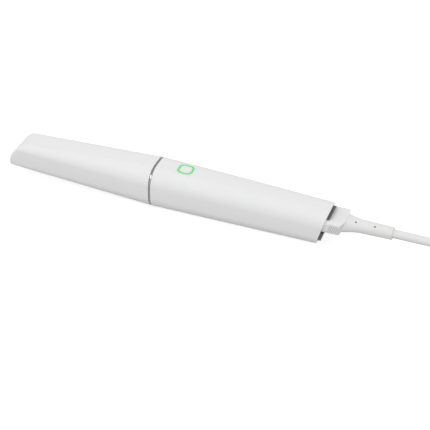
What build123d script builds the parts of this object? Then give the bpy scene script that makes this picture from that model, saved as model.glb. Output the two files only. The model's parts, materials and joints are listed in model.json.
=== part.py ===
"""Intraoral scanner: a hand wand with a pull-off scanning tip and a plug-in lead.

Frame: millimetres, +Z up, +X from the scanning tip to the lead, belly on Z = 0,
origin under the middle of the wand.
"""
import os
from math import atan2, cos, pi, radians, sin, sqrt, tan

from build123d import *

os.makedirs("parts", exist_ok=True)

# Wand outline
LENGTH = 245.0
TIP_LENGTH = 115.0
HANDLE_WIDTH = 33.0
HANDLE_HEIGHT = 32.5
REAR_WIDTH = 27.4
REAR_HEIGHT = 27.6
BODY_SWELL = 0.3
BODY_CORNER = 12.2
REAR_CORNER = 10.4
BODY_BOW = 1.2
BELLY_DIP = 0.25
SHELL_WALL = 2.0
REAR_TILT = 15.0
CAP_PROUD = 2.2

NOSE_X = -LENGTH / 2
RING_X = NOSE_X + TIP_LENGTH
REAR_X = LENGTH / 2
LOFT_END_X = REAR_X + 8.0

# Scanning tip
RING_WIDTH = 1.8
RING_CROWN = 0.25
TIP_END_WIDTH = 23.4
TIP_END_HEIGHT = 19.6
TIP_END_BOTTOM = 7.0
TIP_END_CORNER = 4.2
TIP_END_BOW = 0.5
TIP_WALL = 2.2
NOSE_RUN = 15.0
NOSE_LIP = 2.3
NOSE_ROUND = 1.6
MIRROR_WALL = 1.5
MIRROR_WIDTH = 15.0
MIRROR_LENGTH = 15.5
MIRROR_THICK = 1.0
MIRROR_ROUND = 1.5
WINDOW_LENGTH = 15.0
WINDOW_WIDTH = 14.0
WINDOW_START = 4.6
WINDOW_ROUND = 3.0
TIP_REAR_X = RING_X - RING_WIDTH

# Optics nose inside the tip
NOSE_CLEAR = 0.35
NOSE_REACH = 62.0
NOSE_WALL = 1.6
NOSE_FLANGE = 4.0
GLASS_THICK = 1.2
GLASS_SEAT = 0.8
SEAL_BACK = 9.0
SEAL_WIDTH = 2.0
SEAL_DEPTH = 0.8
SEAL_PROUD = 0.2
FIT = 0.05
NOSE_FRONT_X = TIP_REAR_X - NOSE_REACH
NOSE_INSET = TIP_WALL + NOSE_CLEAR

# Inner frame, optics and boards
CHASSIS_Z = 7.0
CHASSIS_THICK = 1.6
CHASSIS_SIDE = 1.7
CHASSIS_END = 5.0
TONGUE_REACH = 32.0
TONGUE_STEP = 3.0
FLANGE_TALL = 3.8
DECK_Z = CHASSIS_Z + CHASSIS_THICK
CHASSIS_WIDTH = REAR_WIDTH - 2 * SHELL_WALL - 2 * CHASSIS_SIDE
OPTIC_Z = HANDLE_HEIGHT / 2
BLOCK_SIDE = 2.85
BLOCK_WALL = 1.3
BLOCK_CHAMFER = 2.0
BARREL_WALL = 0.7
LENS_GAP = 0.7
EYE_EDGE = 0.2
BLOCK_WIDTH = HANDLE_WIDTH - 2 * (NOSE_INSET + NOSE_WALL + BLOCK_SIDE)
BARREL_RADIUS = (BLOCK_WIDTH / 2 - LENS_GAP - EYE_EDGE) / 2
LENS_SPREAD = BARREL_RADIUS + LENS_GAP
BLOCK_TALL = OPTIC_Z - DECK_Z + BARREL_RADIUS + BLOCK_WALL
TONGUE_WIDTH = BLOCK_WIDTH - 2 * TONGUE_STEP
BLOCK_FRONT = 34.0
BLOCK_BACK = 6.0
BARREL_FRONT = 45.0
BARREL_SEAT = 16.0
LENS_BACK = 2.0
LENS_THICK = 3.0
LENS_LIP = 0.6
WAIST_CUT = 0.4
STRAP_LENGTH = 6.0
ENGINE_GAP = 0.5
ENGINE_ROUND = 1.2
STRAP_THICK = 2.0
STRAP_RISE = 3.0
SINK_BASE = 2.0
SINK_TALL = 11.0
FIN_THICK = 1.4
FIN_COUNT = 6
ENGINE_SHARE = 0.24
SINK_SHARE = 0.18
BOARD_THICK = 1.6
BOARD_GAP = 3.0
BOARD_EDGE = 1.0
CHIP_TALL = 1.4
JACK_TALL = 3.0
JACK_DEEP = 4.0
SENSOR_THICK = 1.2
SENSOR_EDGE = 0.8
CAMERA_EDGE = 0.1
SCREW_EDGE = 4.2
REAR_SCREW_EDGE = 8.0
BOSS_RADIUS = 2.9
PILOT_RADIUS = 1.0
SCREW_CLEAR = 0.2
SCREW_THREAD = 4.2
HEAD_RADIUS = 2.2
HEAD_TALL = 1.4
BLOCK_FRONT_X = RING_X - BLOCK_FRONT
BLOCK_BACK_X = RING_X + BLOCK_BACK
BOARD_Z = DECK_Z + FLANGE_TALL

# Push button
BUTTON_BACK = 20.6
BUTTON_SIZE = 9.0
BUTTON_ROUND = 3.1
BUTTON_GAP = 0.15
BUTTON_STROKE = 0.8
LIGHT_WIDTH = 1.0
LIGHT_WEB = 1.2
WEB_DROP = 0.6
SKIRT_LAP = 1.2
SKIRT_WALL = 0.8
FLANGE_THICK = 1.0
FLANGE_GAP = 0.2
FLANGE_SIDE = 0.4
KEY_BOARD_THICK = 1.2
KEY_BOARD_LENGTH = 15.0
KEY_BOARD_ROUND = 2.0
LAMP_DEEP = 1.0
LAMP_WIDE = 1.6
LAMP_TALL = 0.7
KEY_POST_EDGE = 1.8
KEY_POST_GAP = 0.8
KEY_POST_RADIUS = 1.7
KEY_THREAD = 3.4
SWITCH_SIZE = 6.0
SWITCH_TALL = 3.6
SWITCH_ROUND = 0.6
STEM_RADIUS = 1.6
STEM_PROUD = 1.2
STEM_DEEP = 1.4
STEM_CLEAR = 0.08
STEM_BOSS = 0.2
BUTTON_X = RING_X + BUTTON_BACK
LIGHT_SIZE = BUTTON_SIZE + 2 * LIGHT_WIDTH
SKIRT_SIZE = LIGHT_SIZE + 2 * SKIRT_LAP
CAP_SIZE = BUTTON_SIZE - 2 * BUTTON_GAP
KEY_POST = SKIRT_SIZE / 2 + KEY_POST_GAP + KEY_POST_RADIUS
KEY_BOARD_WIDTH = 2 * (KEY_POST + KEY_POST_EDGE)
FLANGE_SIZE = SKIRT_SIZE - 2 * SKIRT_WALL - 2 * FLANGE_SIDE

# Rear cap, socket and plug
CAP_DEEP = 6.0
CAP_GROOVE = 0.5
GROOVE_DEEP = 0.4
PLUG_DROP = 9.8
PLUG_WIDTH = 23.0
PLUG_HEIGHT = 10.4
PLUG_ROUND = 3.2
PLUG_LENGTH = 12.8
PLUG_TAPER = 2.2
PLUG_CLEAR = 0.1
GRIP_GROOVES = 5
GRIP_PITCH = 1.3
GRIP_EDGE = 2.0
GRIP_WIDTH = 0.6
GRIP_DEEP = 0.4
SOCKET_WIDTH = 15.0
SOCKET_HEIGHT = 7.6
SOCKET_LENGTH = 13.0
SOCKET_BACK = 1.8
INSERT_WIDTH = 10.0
INSERT_HEIGHT = 3.6
INSERT_REACH = 9.0
INSERT_ROUND = 1.0
INSERT_CLEAR = 0.4
PLUG_Z = REAR_HEIGHT - PLUG_DROP

# Lead
CORD = 6.2
BOOT_LENGTH = 33.9
FLARE_LENGTH = 12.0
BOOT_END = 8.9
BOOT_NECK = 9.7
FLARE_WIDTH = 16.4
FLARE_HEIGHT = 10.0
FLARE_BACK = 4.0
FLARE_STEP = 2.0
FLARE_SLOPE = 0.7
DIMPLE_RADIUS = 0.6
DIMPLE_LEAN = 32.0
DIMPLE_START = 8.0
DIMPLE_PITCH = 13.4
DIMPLE_DEPTH = 0.7
TIE_THICK = 0.9
TIE_WIDTH = 8.0
TIE_ROUND = 2.0
TIE_CLEAR = 0.1
COIL_PITCH = 6.6
COIL_INNER = 18.6
COIL_COLUMNS = 2
COIL_LAYERS = 3
COIL_RUN = 93.0
COIL_REACH = 66.0
COIL_Y = 11.8
COIL_OUTER = COIL_INNER + (COIL_COLUMNS - 1) * COIL_PITCH
COIL_Z = TIE_THICK + CORD / 2
COIL_TOP_Z = COIL_Z + (COIL_LAYERS - 1) * COIL_PITCH
USB_WIDTH = 15.5
USB_HEIGHT = 8.6
USB_LENGTH = 28.0
USB_NECK = 8.0
USB_SHELL_WIDTH = 12.0
USB_SHELL_HEIGHT = 4.5
USB_SHELL_LENGTH = 14.0
USB_SHELL_WALL = 0.35
USB_COLLAR = 0.6
USB_FLARE = 1.0
USB_ROUND = 2.6
USB_EDGE = 0.8
USB_LATCH = 2.2
USB_LATCH_SPREAD = 2.6
USB_TONGUE_TALL = 1.9


def across(x, z=0.0):
    """Plane facing +X at the station x, with its local axes along Y and Z."""
    return Plane(origin=(x, 0, z), x_dir=(0, 1, 0), z_dir=(1, 0, 0))


def pillow(x, width, height, bottom, corner, bow):
    """Section across the wand: a rounded square whose four sides bow outwards."""
    side = width / 2 - bow
    top = height / 2 - bow
    with BuildSketch(across(x, bottom + height / 2)) as outline:
        with BuildLine():
            ThreePointArc((-side, top), (0, height / 2), (side, top))
            ThreePointArc((side, top), (width / 2, 0), (side, -top))
            ThreePointArc((side, -top), (0, -height / 2), (-side, -top))
            ThreePointArc((-side, -top), (-width / 2, 0), (-side, top))
        make_face()
        fillet(outline.vertices(), max(corner, 0.8))
    return outline.sketch


def front_section(x, inset):
    """Section that the handle's front, the trim ring and the tip's rear share."""
    return pillow(x, HANDLE_WIDTH - 2 * inset, HANDLE_HEIGHT - 2 * inset, inset - BELLY_DIP,
                  BODY_CORNER - inset, BODY_BOW)


def handle_form(inset):
    """Handle as a solid with a slight swell at mid-length, set in from the outer skin by the inset."""
    swell = pillow((RING_X + LOFT_END_X) / 2, (HANDLE_WIDTH + REAR_WIDTH) / 2 + BODY_SWELL - 2 * inset,
                   (HANDLE_HEIGHT + REAR_HEIGHT) / 2 + BODY_SWELL - 2 * inset,
                   inset - BELLY_DIP, (BODY_CORNER + REAR_CORNER) / 2 - inset, BODY_BOW)
    rear = pillow(LOFT_END_X, REAR_WIDTH - 2 * inset, REAR_HEIGHT - 2 * inset,
                  inset - BELLY_DIP, REAR_CORNER - inset, BODY_BOW)
    with BuildPart() as form:
        loft([front_section(RING_X, inset), swell, rear])
    return form.part


def handle_top(x):
    """Height of the straight line along the handle's top at the station x."""
    share = (x - RING_X) / (LOFT_END_X - RING_X)
    return HANDLE_HEIGHT - BELLY_DIP + share * (REAR_HEIGHT - HANDLE_HEIGHT)


def tip_form(inset):
    """Tip as a straight taper from the ring to the nose, set in by the inset."""
    end = pillow(NOSE_X, TIP_END_WIDTH - 2 * inset, TIP_END_HEIGHT - 2 * inset,
                 TIP_END_BOTTOM + inset, TIP_END_CORNER - inset, TIP_END_BOW)
    with BuildPart() as form:
        loft([end, front_section(TIP_REAR_X, inset)])
    return form.part


def tip_slice(inset, start_x, end_x):
    """Length of the tip's taper between two stations."""
    with BuildPart() as piece:
        add(tip_form(inset))
        split(bisect_by=across(start_x), keep=Keep.TOP)
        split(bisect_by=across(end_x), keep=Keep.BOTTOM)
    return piece.part


def leaning(shift):
    """Plane parallel to the slanted rear rim, moved along X by the shift."""
    normal = (cos(radians(REAR_TILT)), 0, -sin(radians(REAR_TILT)))
    top_z = REAR_HEIGHT - SHELL_WALL - BELLY_DIP
    return Plane(origin=(REAR_X - CAP_PROUD + shift, 0, top_z), x_dir=(0, 1, 0), z_dir=normal)


def rim_x(z):
    """Station where the slanted rim plane crosses the height z."""
    top_z = REAR_HEIGHT - SHELL_WALL - BELLY_DIP
    return REAR_X - CAP_PROUD - (top_z - z) * tan(radians(REAR_TILT))


def screw(x, y, z, shank, up=True):
    """Pan-head screw whose head sits on the height z."""
    way = 1 if up else -1
    with BuildPart() as piece:
        with BuildSketch(Plane.XY.offset(z)):
            with Locations((x, y)):
                Circle(HEAD_RADIUS)
        extrude(amount=way * HEAD_TALL)
        with BuildSketch(Plane.XY.offset(z)):
            with Locations((x, y)):
                Circle(PILOT_RADIUS - FIT)
        extrude(amount=-way * shank)
        with BuildSketch(Plane.XY.offset(z + way * HEAD_TALL)):
            with Locations((x, y)):
                RegularPolygon(HEAD_RADIUS * 0.5, 6)
        extrude(amount=-way * HEAD_TALL * 0.5, mode=Mode.SUBTRACT)
    return piece.part


def tip_top(x):
    """Height of the tip's top line at the station x."""
    share = (x - NOSE_X) / (TIP_REAR_X - NOSE_X)
    end_top = TIP_END_BOTTOM + TIP_END_HEIGHT
    return end_top + share * (HANDLE_HEIGHT - BELLY_DIP - end_top)


# Stations along the handle: the optics, the heat sink and the main board share the room before the socket
SOCKET_FACE_X = rim_x(PLUG_Z) - SOCKET_BACK
CHASSIS_REACH = SOCKET_FACE_X - SOCKET_LENGTH - CHASSIS_END - RING_X
INNER_ROOM = CHASSIS_REACH - BLOCK_BACK
ENGINE_LENGTH = ENGINE_SHARE * INNER_ROOM
SINK_LENGTH = SINK_SHARE * INNER_ROOM
BOARD_START = BLOCK_BACK + ENGINE_LENGTH + STRAP_LENGTH + SINK_LENGTH + BOARD_GAP
BOARD_LENGTH = CHASSIS_REACH - BOARD_START - BOARD_EDGE
FRONT_SCREW = BLOCK_BACK + ENGINE_LENGTH + STRAP_LENGTH / 2
REAR_SCREW = CHASSIS_REACH - REAR_SCREW_EDGE
SCREW_SPREAD = CHASSIS_WIDTH / 2 - SCREW_EDGE
ENGINE_BACK_X = BLOCK_BACK_X + ENGINE_LENGTH
SINK_X = ENGINE_BACK_X + STRAP_LENGTH
BOARD_X = RING_X + BOARD_START
SCREW_PLACES = [(RING_X + FRONT_SCREW, SCREW_SPREAD), (RING_X + FRONT_SCREW, -SCREW_SPREAD),
                (RING_X + REAR_SCREW, SCREW_SPREAD), (RING_X + REAR_SCREW, -SCREW_SPREAD)]

# Scanning tip: hollow taper with a rounded nose, a mirror bed and a window below
SLOPE_TOP_X = NOSE_X + NOSE_RUN
SLOPE_TOP_Z = tip_top(SLOPE_TOP_X)
LIP_Z = TIP_END_BOTTOM + NOSE_LIP
SLOPE = atan2(SLOPE_TOP_Z - LIP_Z, NOSE_RUN)
NOSE_CURVE = (NOSE_RUN ** 2 + (SLOPE_TOP_Z - LIP_Z) ** 2) / (2 * NOSE_RUN)
CHIN_X = NOSE_X + NOSE_CURVE * (1 - cos(pi / 6))
CHIN_Z = LIP_Z - NOSE_CURVE * sin(pi / 6)
BED_X = NOSE_X + MIRROR_WALL * sin(SLOPE)
BED_Z = LIP_Z - MIRROR_WALL * cos(SLOPE)
BEYOND = HANDLE_HEIGHT

with BuildPart() as nose_block:
    with BuildSketch(Plane.XZ):
        with BuildLine():
            Polyline((CHIN_X, CHIN_Z), (CHIN_X, -BEYOND), (RING_X, -BEYOND), (RING_X, 2 * BEYOND),
                     (SLOPE_TOP_X, 2 * BEYOND), (SLOPE_TOP_X, SLOPE_TOP_Z))
            ThreePointArc((SLOPE_TOP_X, SLOPE_TOP_Z), (NOSE_X, LIP_Z), (CHIN_X, CHIN_Z))
        make_face()
    extrude(amount=HANDLE_WIDTH, both=True)

with BuildPart() as bed_block:
    with BuildSketch(Plane.XZ):
        with BuildLine():
            Polyline((BED_X - BEYOND * cos(SLOPE), BED_Z - BEYOND * sin(SLOPE)), (RING_X, -BEYOND),
                     (RING_X, 2 * BEYOND),
                     (BED_X + BEYOND * cos(SLOPE), BED_Z + BEYOND * sin(SLOPE)), close=True)
        make_face()
    extrude(amount=HANDLE_WIDTH, both=True)

with BuildPart() as tip_hollow:
    add(tip_form(TIP_WALL))
    add(bed_block.part, mode=Mode.INTERSECT)

with BuildPart() as scan_tip:
    add(tip_form(0))
    add(nose_block.part, mode=Mode.INTERSECT)
    nose_edges = scan_tip.edges().filter_by_position(Axis.X, NOSE_X - 1, SLOPE_TOP_X + 0.1)
    fillet(nose_edges.filter_by(lambda e: e.center().X < SLOPE_TOP_X - 1), NOSE_ROUND)
    add(tip_hollow.part, mode=Mode.SUBTRACT)
    with BuildSketch(Plane.XY):
        with Locations((NOSE_X + WINDOW_START + WINDOW_LENGTH / 2, 0)):
            RectangleRounded(WINDOW_LENGTH, WINDOW_WIDTH, WINDOW_ROUND)
    extrude(amount=TIP_END_BOTTOM + TIP_WALL + TIP_END_BOW, mode=Mode.SUBTRACT)
    split(bisect_by=Plane.XY, keep=Keep.TOP)
scan_tip.part.label = "scan_tip"
export_step(scan_tip.part, "parts/scan_tip.step")

# Mirror, seated flat on the bed above the window
bed_middle = 0.5 * (BED_Z + SLOPE_TOP_Z) - BED_Z
mirror_seat = Plane(
    origin=(BED_X + bed_middle / tan(SLOPE), 0, BED_Z + bed_middle),
    x_dir=(0, 1, 0),
    z_dir=(sin(SLOPE), 0, -cos(SLOPE)),
)
with BuildPart() as tip_mirror:
    with BuildSketch(mirror_seat):
        RectangleRounded(MIRROR_WIDTH, MIRROR_LENGTH, MIRROR_ROUND)
    extrude(amount=MIRROR_THICK)
tip_mirror.part.label = "tip_mirror"
export_step(tip_mirror.part, "parts/tip_mirror.step")

# Trim ring between tip and handle
with BuildPart() as trim_ring:
    loft([front_section(TIP_REAR_X, RING_CROWN), front_section(TIP_REAR_X + RING_WIDTH / 2, 0),
          front_section(RING_X, RING_CROWN)])
    extrude(front_section(TIP_REAR_X, NOSE_INSET - FIT), amount=RING_WIDTH, mode=Mode.SUBTRACT)
    split(bisect_by=Plane.XY, keep=Keep.TOP)
trim_ring.part.label = "trim_ring"
export_step(trim_ring.part, "parts/trim_ring.step")

# Heights of the button's stack, hung from the shell's inner face
WEB_TOP_Z = handle_top(BUTTON_X + SKIRT_SIZE / 2) - SHELL_WALL - WEB_DROP
WEB_Z = WEB_TOP_Z - LIGHT_WEB
FLANGE_TOP_Z = WEB_Z - FLANGE_GAP
FLANGE_Z = FLANGE_TOP_Z - FLANGE_THICK
STEM_TOP_Z = FLANGE_Z - STEM_BOSS
SWITCH_TOP_Z = STEM_TOP_Z - STEM_PROUD
KEY_TOP_Z = SWITCH_TOP_Z - SWITCH_TALL
KEY_BOARD_Z = KEY_TOP_Z - KEY_BOARD_THICK

# Handle shell: one-piece sleeve with a flat belly, screw bosses and a button opening
with BuildPart() as key_posts:
    with BuildSketch(Plane.XY.offset(KEY_TOP_Z)):
        with Locations((BUTTON_X, KEY_POST), (BUTTON_X, -KEY_POST)):
            Circle(KEY_POST_RADIUS)
    extrude(amount=HANDLE_HEIGHT - KEY_TOP_Z)
    add(handle_form(SHELL_WALL / 2), mode=Mode.INTERSECT)
with BuildPart() as handle_shell:
    add(handle_form(0))
    add(handle_form(SHELL_WALL), mode=Mode.SUBTRACT)
    split(bisect_by=leaning(0), keep=Keep.BOTTOM)
    split(bisect_by=Plane.XY, keep=Keep.TOP)
    with BuildSketch(Plane.XY.offset(SHELL_WALL / 2)):
        with Locations(*SCREW_PLACES):
            Circle(BOSS_RADIUS)
    extrude(amount=CHASSIS_Z - SHELL_WALL / 2)
    with BuildSketch(Plane.XY.offset(CHASSIS_Z)):
        with Locations(*SCREW_PLACES):
            Circle(PILOT_RADIUS)
    extrude(amount=-(CHASSIS_Z - SHELL_WALL), mode=Mode.SUBTRACT)
    add(key_posts.part)
    with BuildSketch(Plane.XY.offset(KEY_TOP_Z)):
        with Locations((BUTTON_X, KEY_POST), (BUTTON_X, -KEY_POST)):
            Circle(PILOT_RADIUS)
    extrude(amount=KEY_THREAD + FLANGE_GAP, mode=Mode.SUBTRACT)
    with BuildSketch(Plane.XY.offset(WEB_Z)):
        with Locations((BUTTON_X, 0)):
            RectangleRounded(LIGHT_SIZE + 2 * FIT, LIGHT_SIZE + 2 * FIT, BUTTON_ROUND + LIGHT_WIDTH)
    extrude(amount=HANDLE_HEIGHT - WEB_Z, mode=Mode.SUBTRACT)
handle_shell.part.label = "handle_shell"
export_step(handle_shell.part, "parts/handle_shell.step")

# Light ring: a light guide round the button, with a skirt down to the lamps on the key board
with BuildPart() as light_ring:
    with BuildSketch(Plane.XY.offset(WEB_Z)):
        with Locations((BUTTON_X, 0)):
            RectangleRounded(LIGHT_SIZE, LIGHT_SIZE, BUTTON_ROUND + LIGHT_WIDTH)
    extrude(amount=HANDLE_HEIGHT - WEB_Z)
    add(handle_form(0), mode=Mode.INTERSECT)
    with BuildSketch(Plane.XY.offset(KEY_TOP_Z)):
        with Locations((BUTTON_X, 0)):
            RectangleRounded(SKIRT_SIZE, SKIRT_SIZE, BUTTON_ROUND + LIGHT_WIDTH)
    extrude(amount=WEB_TOP_Z - KEY_TOP_Z)
    with BuildSketch(Plane.XY.offset(KEY_TOP_Z)):
        with Locations((BUTTON_X, 0)):
            RectangleRounded(SKIRT_SIZE - 2 * SKIRT_WALL, SKIRT_SIZE - 2 * SKIRT_WALL, BUTTON_ROUND)
    extrude(amount=WEB_Z - KEY_TOP_Z, mode=Mode.SUBTRACT)
    with BuildSketch(Plane.XY.offset(WEB_Z)):
        with Locations((BUTTON_X, 0)):
            RectangleRounded(BUTTON_SIZE, BUTTON_SIZE, BUTTON_ROUND)
    extrude(amount=HANDLE_HEIGHT - WEB_Z, mode=Mode.SUBTRACT)
light_ring.part.label = "light_ring"
export_step(light_ring.part, "parts/light_ring.step")

# Button cap, flush with the shell, held under the light ring by its flange
with BuildPart() as button_cap:
    with BuildSketch(Plane.XY.offset(FLANGE_Z)):
        with Locations((BUTTON_X, 0)):
            RectangleRounded(CAP_SIZE, CAP_SIZE, BUTTON_ROUND - BUTTON_GAP)
    extrude(amount=HANDLE_HEIGHT - FLANGE_Z)
    add(handle_form(0), mode=Mode.INTERSECT)
    with BuildSketch(Plane.XY.offset(FLANGE_Z)):
        with Locations((BUTTON_X, 0)):
            RectangleRounded(FLANGE_SIZE, FLANGE_SIZE, BUTTON_ROUND - BUTTON_GAP)
    extrude(amount=FLANGE_THICK)
    with BuildSketch(Plane.XY.offset(STEM_TOP_Z)):
        with Locations((BUTTON_X, 0)):
            Circle(1.4 * STEM_RADIUS)
    extrude(amount=STEM_BOSS)
button_cap.part.label = "button_cap"
export_step(button_cap.part, "parts/button_cap.step")

# Switch on the key board, with a stem that the cap pushes down
with BuildPart() as key_switch:
    with BuildSketch(Plane.XY.offset(KEY_TOP_Z)):
        with Locations((BUTTON_X, 0)):
            RectangleRounded(SWITCH_SIZE, SWITCH_SIZE, SWITCH_ROUND)
    extrude(amount=SWITCH_TALL)
    with BuildSketch(Plane.XY.offset(SWITCH_TOP_Z)):
        with Locations((BUTTON_X, 0)):
            Circle(STEM_RADIUS + STEM_CLEAR)
    extrude(amount=-(STEM_DEEP + BUTTON_STROKE + FLANGE_GAP), mode=Mode.SUBTRACT)
key_switch.part.label = "key_switch"
export_step(key_switch.part, "parts/key_switch.step")

with BuildPart() as switch_stem:
    with BuildSketch(Plane.XY.offset(STEM_TOP_Z)):
        with Locations((BUTTON_X, 0)):
            Circle(STEM_RADIUS)
    extrude(amount=-(STEM_PROUD + STEM_DEEP))
switch_stem.part.label = "switch_stem"
export_step(switch_stem.part, "parts/switch_stem.step")

# Key board with four lamps inside the light ring's skirt
LAMP_REACH = (SWITCH_SIZE / 2 + SKIRT_SIZE / 2 - SKIRT_WALL) / 2
with BuildPart() as key_board:
    with BuildSketch(Plane.XY.offset(KEY_BOARD_Z)) as key_outline:
        with Locations((BUTTON_X, 0)):
            RectangleRounded(KEY_BOARD_LENGTH, KEY_BOARD_WIDTH, KEY_BOARD_ROUND)
        with Locations((BUTTON_X, KEY_POST), (BUTTON_X, -KEY_POST)):
            Circle(PILOT_RADIUS, mode=Mode.SUBTRACT)
    extrude(amount=KEY_BOARD_THICK)
    with BuildSketch(Plane.XY.offset(KEY_TOP_Z)):
        with Locations((BUTTON_X, 0)):
            with PolarLocations(LAMP_REACH, 4):
                Rectangle(LAMP_DEEP, LAMP_WIDE)
    extrude(amount=LAMP_TALL)
key_board.part.label = "key_board"
export_step(key_board.part, "parts/key_board.step")

with BuildPart() as key_screws:
    add(screw(BUTTON_X, KEY_POST, KEY_BOARD_Z, KEY_BOARD_THICK + KEY_THREAD, up=False))
    add(screw(BUTTON_X, -KEY_POST, KEY_BOARD_Z, KEY_BOARD_THICK + KEY_THREAD, up=False))
key_screws.part.label = "key_screws"
export_step(key_screws.part, "parts/key_screws.step")

# Optics nose: the hollow snout that the tip slides over, with a flange inside the shell's front
with BuildPart() as snout_flange:
    add(handle_form(SHELL_WALL + FIT))
    split(bisect_by=across(RING_X + NOSE_FLANGE), keep=Keep.BOTTOM)
with BuildPart() as optics_nose:
    add(tip_slice(NOSE_INSET, NOSE_FRONT_X, TIP_REAR_X))
    extrude(front_section(TIP_REAR_X, NOSE_INSET), amount=RING_WIDTH)
    add(snout_flange.part)
    add(tip_slice(NOSE_INSET + NOSE_WALL, NOSE_FRONT_X, TIP_REAR_X), mode=Mode.SUBTRACT)
    extrude(front_section(TIP_REAR_X, NOSE_INSET + NOSE_WALL), amount=RING_WIDTH + NOSE_FLANGE,
            mode=Mode.SUBTRACT)
    add(tip_slice(NOSE_INSET + GLASS_SEAT, NOSE_FRONT_X, NOSE_FRONT_X + GLASS_THICK), mode=Mode.SUBTRACT)
with BuildPart() as seal_groove:
    add(tip_slice(NOSE_INSET - SEAL_DEPTH, TIP_REAR_X - SEAL_BACK, TIP_REAR_X - SEAL_BACK + SEAL_WIDTH))
    add(tip_form(NOSE_INSET + SEAL_DEPTH), mode=Mode.SUBTRACT)
with BuildPart() as optics_snout:
    add(optics_nose.part)
    add(seal_groove.part, mode=Mode.SUBTRACT)
optics_snout.part.label = "optics_snout"
export_step(optics_snout.part, "parts/optics_snout.step")

with BuildPart() as nose_glass:
    add(tip_slice(NOSE_INSET + GLASS_SEAT + FIT, NOSE_FRONT_X, NOSE_FRONT_X + GLASS_THICK))
nose_glass.part.label = "nose_glass"
export_step(nose_glass.part, "parts/nose_glass.step")

with BuildPart() as nose_seal:
    add(tip_slice(NOSE_INSET - SEAL_PROUD, TIP_REAR_X - SEAL_BACK, TIP_REAR_X - SEAL_BACK + SEAL_WIDTH))
    add(tip_form(NOSE_INSET + SEAL_DEPTH - FIT), mode=Mode.SUBTRACT)
nose_seal.part.label = "nose_seal"
export_step(nose_seal.part, "parts/nose_seal.step")

# Chassis: a bent metal tray from the optics to the rear
with BuildPart() as chassis:
    with BuildSketch(Plane.XY.offset(CHASSIS_Z)):
        with Locations((RING_X - TONGUE_REACH, 0)):
            Rectangle(TONGUE_REACH + BLOCK_BACK + BOARD_EDGE, TONGUE_WIDTH, align=(Align.MIN, Align.CENTER))
        with Locations((BLOCK_BACK_X, 0)):
            Rectangle(INNER_ROOM, CHASSIS_WIDTH, align=(Align.MIN, Align.CENTER))
        with Locations(*SCREW_PLACES):
            Circle(PILOT_RADIUS + SCREW_CLEAR, mode=Mode.SUBTRACT)
    extrude(amount=CHASSIS_THICK)
    flange_y = (CHASSIS_WIDTH - CHASSIS_THICK) / 2
    with BuildSketch(Plane.XY.offset(DECK_Z)):
        with Locations((BOARD_X, flange_y), (BOARD_X, -flange_y)):
            Rectangle(BOARD_LENGTH, CHASSIS_THICK, align=(Align.MIN, Align.CENTER))
    extrude(amount=FLANGE_TALL)
chassis.part.label = "chassis"
export_step(chassis.part, "parts/chassis.step")

with BuildPart() as chassis_screws:
    for screw_x, screw_y in SCREW_PLACES:
        add(screw(screw_x, screw_y, DECK_Z, CHASSIS_THICK + SCREW_THREAD))
chassis_screws.part.label = "chassis_screws"
export_step(chassis_screws.part, "parts/chassis_screws.step")

# Optics block with two lens bores
with BuildPart() as optics_block:
    with BuildSketch(Plane.XY.offset(DECK_Z)):
        with Locations((BLOCK_FRONT_X, 0)):
            Rectangle(BLOCK_FRONT + BLOCK_BACK, BLOCK_WIDTH, align=(Align.MIN, Align.CENTER))
    extrude(amount=BLOCK_TALL)
    chamfer(optics_block.edges().filter_by(Axis.X).sort_by(Axis.Z)[-2:], BLOCK_CHAMFER)
    with BuildSketch(across(BLOCK_FRONT_X)):
        with Locations((LENS_SPREAD, OPTIC_Z), (-LENS_SPREAD, OPTIC_Z)):
            Circle(BARREL_RADIUS + FIT)
    extrude(amount=BARREL_SEAT, mode=Mode.SUBTRACT)
    with BuildSketch(across(BLOCK_FRONT_X)):
        with Locations((LENS_SPREAD, OPTIC_Z), (-LENS_SPREAD, OPTIC_Z)):
            Circle(BARREL_RADIUS - 2 * BARREL_WALL)
    extrude(amount=BLOCK_FRONT + BLOCK_BACK, mode=Mode.SUBTRACT)
optics_block.part.label = "optics_block"
export_step(optics_block.part, "parts/optics_block.step")

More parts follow.
